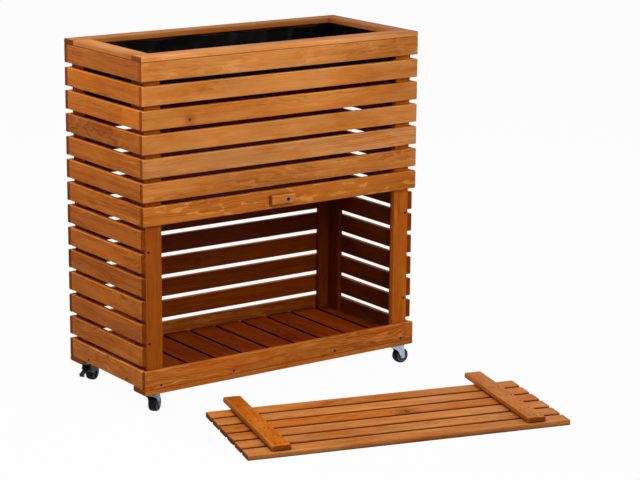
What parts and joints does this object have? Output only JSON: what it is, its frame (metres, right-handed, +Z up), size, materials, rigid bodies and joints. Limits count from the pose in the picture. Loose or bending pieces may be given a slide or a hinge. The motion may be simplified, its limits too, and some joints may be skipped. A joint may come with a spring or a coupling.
{
  "type": "raised planter",
  "caption": "Raised slatted timber planter on swivel castors, with a lined trough on top, a storage space below and a lift-off slatted front panel held by a turn button.",
  "frame": {"origin": "on the floor under the middle of the planter's rectangular frame; the front panel that lies on the floor isn't counted", "axes": "+X to the right along the front, +Y to the back, +Z up"},
  "size_m": [0.8985, 0.9691, 0.8675],
  "materials": {
    "rim_timber": "honey-stained planed softwood, satin",
    "wall_timber": "honey-stained planed softwood, satin",
    "frame_timber": "honey-stained planed softwood, satin",
    "floor_timber": "honey-stained sawn softwood, matt",
    "panel_timber": "honey-stained planed softwood, satin",
    "batten_timber": "honey-stained planed softwood, satin",
    "button_timber": "honey-stained planed softwood, satin",
    "screw_steel": "dark coated steel",
    "liner_foil": "black foil, slight sheen",
    "castor_zinc": "zinc-plated pressed steel",
    "castor_hub": "grey-blue moulded plastic",
    "castor_tyre": "black rubber"
  },
  "bodies": {
    "planter": {"back_bottom_board": "wall_timber", "back_slats": "wall_timber", "castor_plates": "castor_zinc", "front_bottom_board": "wall_timber", "front_slat_1": "wall_timber", "front_slat_2": "wall_timber", "front_slat_3": "wall_timber", "front_slat_4": "wall_timber", "front_slat_5": "wall_timber", "front_slat_6": "wall_timber", "front_slat_7": "wall_timber", "left_bottom_board": "wall_timber", "left_slats": "wall_timber", "liner": "liner_foil", "post_back_left_face": "frame_timber", "post_back_left_side": "frame_timber", "post_back_right_face": "frame_timber", "post_back_right_side": "frame_timber", "post_front_left_face": "frame_timber", "post_front_left_side": "frame_timber", "post_front_right_face": "frame_timber", "post_front_right_side": "frame_timber", "right_bottom_board": "wall_timber", "right_slats": "wall_timber", "rim_back": "rim_timber", "rim_front": "rim_timber", "rim_left": "rim_timber", "rim_right": "rim_timber", "runner_back": "frame_timber", "runner_front": "frame_timber", "storage_floor": "floor_timber", "trough_bearer_back": "frame_timber", "trough_bearer_front": "frame_timber", "trough_floor": "floor_timber", "turn_button_screw": "screw_steel"},
    "front_left_fork": {"castor_front_left_fork": "castor_zinc"},
    "front_left_wheel": {"castor_front_left_hub": "castor_hub", "castor_front_left_tyre": "castor_tyre"},
    "front_right_fork": {"castor_front_right_fork": "castor_zinc"},
    "front_right_wheel": {"castor_front_right_hub": "castor_hub", "castor_front_right_tyre": "castor_tyre"},
    "back_left_fork": {"castor_back_left_fork": "castor_zinc"},
    "back_left_wheel": {"castor_back_left_hub": "castor_hub", "castor_back_left_tyre": "castor_tyre"},
    "back_left_brake": {"castor_back_left_brake": "castor_zinc"},
    "back_right_fork": {"castor_back_right_fork": "castor_zinc"},
    "back_right_wheel": {"castor_back_right_hub": "castor_hub", "castor_back_right_tyre": "castor_tyre"},
    "back_right_brake": {"castor_back_right_brake": "castor_zinc"},
    "turn_button": {"turn_button": "button_timber"},
    "front_panel": {"panel_batten_left": "batten_timber", "panel_batten_right": "batten_timber", "panel_slat_1": "panel_timber", "panel_slat_2": "panel_timber", "panel_slat_3": "panel_timber", "panel_slat_4": "panel_timber", "panel_slat_5": "panel_timber", "panel_slat_6": "panel_timber"}
  },
  "joints": [
    {"name": "castor_front_left_swivel", "type": "hinge", "parent": "planter", "child": "front_left_fork", "pos_m": [-0.366, -0.153, 0.055], "axis": [0, 0, 1], "continuous": true},
    {"name": "castor_front_left_roll", "type": "hinge", "parent": "front_left_fork", "child": "front_left_wheel", "pos_m": [-0.35144, -0.14242, 0.02], "axis": [-0.5878, 0.809, 0], "continuous": true},
    {"name": "castor_front_right_swivel", "type": "hinge", "parent": "planter", "child": "front_right_fork", "pos_m": [0.366, -0.153, 0.055], "axis": [0, 0, 1], "continuous": true},
    {"name": "castor_front_right_roll", "type": "hinge", "parent": "front_right_fork", "child": "front_right_wheel", "pos_m": [0.384, -0.15331, 0.02], "axis": [0.0175, 0.9998, 0], "continuous": true},
    {"name": "castor_back_left_swivel", "type": "hinge", "parent": "planter", "child": "back_left_fork", "pos_m": [-0.366, 0.153, 0.055], "axis": [0, 0, 1], "continuous": true},
    {"name": "castor_back_left_roll", "type": "hinge", "parent": "back_left_fork", "child": "back_left_wheel", "pos_m": [-0.35074, 0.16254, 0.02], "axis": [-0.5299, 0.848, 0], "continuous": true},
    {"name": "castor_back_left_brake_press", "type": "hinge", "parent": "back_left_fork", "child": "back_left_brake", "pos_m": [-0.37278, 0.14876, 0.0355], "axis": [0.5299, -0.848, 0], "range_deg": [0, 25]},
    {"name": "castor_back_right_swivel", "type": "hinge", "parent": "planter", "child": "back_right_fork", "pos_m": [0.366, 0.153, 0.055], "axis": [0, 0, 1], "continuous": true},
    {"name": "castor_back_right_roll", "type": "hinge", "parent": "back_right_fork", "child": "back_right_wheel", "pos_m": [0.38312, 0.15856, 0.02], "axis": [-0.309, 0.9511, 0], "continuous": true},
    {"name": "castor_back_right_brake_press", "type": "hinge", "parent": "back_right_fork", "child": "back_right_brake", "pos_m": [0.35839, 0.15053, 0.0355], "axis": [0.309, -0.9511, 0], "range_deg": [0, 25]},
    {"name": "button_turn", "type": "hinge", "parent": "planter", "child": "turn_button", "pos_m": [0, -0.189, 0.48975], "axis": [0, -1, 0], "continuous": true},
    {"name": "panel_lift", "type": "slide", "parent": "planter", "child": "front_panel", "axis": [0, 0, 1], "range_m": [0, 0.5]}
  ]
}
